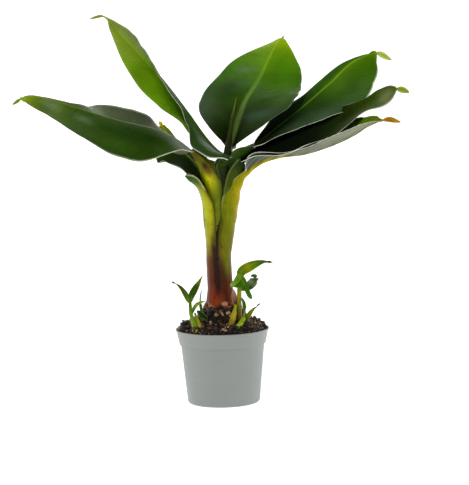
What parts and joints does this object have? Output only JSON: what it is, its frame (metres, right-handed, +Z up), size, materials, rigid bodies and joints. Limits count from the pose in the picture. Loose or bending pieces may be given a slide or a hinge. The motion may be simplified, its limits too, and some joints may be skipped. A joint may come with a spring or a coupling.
{
  "type": "potted banana plant",
  "caption": "Young banana plant with broad glossy leaves on a sheathed false stem and two clumps of side shoots, standing in a small round nursery pot.",
  "frame": {"origin": "centre of the pot's flat underside", "axes": "+Z up along the pot's axis, +X to the right in the front view, -Y towards the viewer"},
  "size_m": [0.2462, 0.1332, 0.2479],
  "materials": {
    "pot_plastic": "satin moulded plastic, cool grey",
    "soil": "moist coarse peat with pale fibres",
    "stem": "smooth green sheaths, mahogany red towards the foot",
    "petiole": "smooth yellow-green leaf stalk",
    "leaf": "glossy dark green with fine side veins and a pale margin",
    "rolled_leaf": "rolled new leaf, purple-brown over olive",
    "shoot_stem": "smooth yellow-green shoot",
    "shoot_leaf": "soft green small leaf with a dry dark tip",
    "husk": "dry papery sheath, pinkish tan"
  },
  "bodies": {
    "root": {"pot": "pot_plastic", "soil": "soil", "pseudostem": "stem", "petiole_left": "petiole", "leaf_left": "leaf", "petiole_upper_left": "petiole", "leaf_upper_left": "leaf", "petiole_centre": "petiole", "leaf_centre": "leaf", "petiole_upper_right": "petiole", "leaf_upper_right": "leaf", "petiole_right": "petiole", "leaf_right": "leaf", "petiole_lower_right": "petiole", "leaf_lower_right": "leaf", "petiole_back_left": "petiole", "leaf_back_left": "leaf", "rolled_leaf": "rolled_leaf", "shoot_left_stem": "shoot_stem", "shoot_left_bud": "shoot_stem", "shoot_right_stem": "shoot_stem", "shoot_right_bud": "shoot_stem", "shoot_right_stub": "shoot_stem", "shoot_left_leaf_outer": "shoot_leaf", "shoot_left_leaf_inner": "shoot_leaf", "shoot_left_leaf_thin": "shoot_leaf", "shoot_left_leaf_low": "shoot_leaf", "shoot_left_sliver": "shoot_leaf", "shoot_right_leaf_long": "shoot_leaf", "shoot_right_leaf_hanging": "shoot_leaf", "shoot_right_leaf_folded": "shoot_leaf", "shoot_right_leaf_curled": "shoot_leaf", "shoot_right_leaf_narrow": "shoot_leaf", "shoot_right_leaf_low": "shoot_leaf", "shoot_right_husk": "husk"}
  },
  "joints": []
}
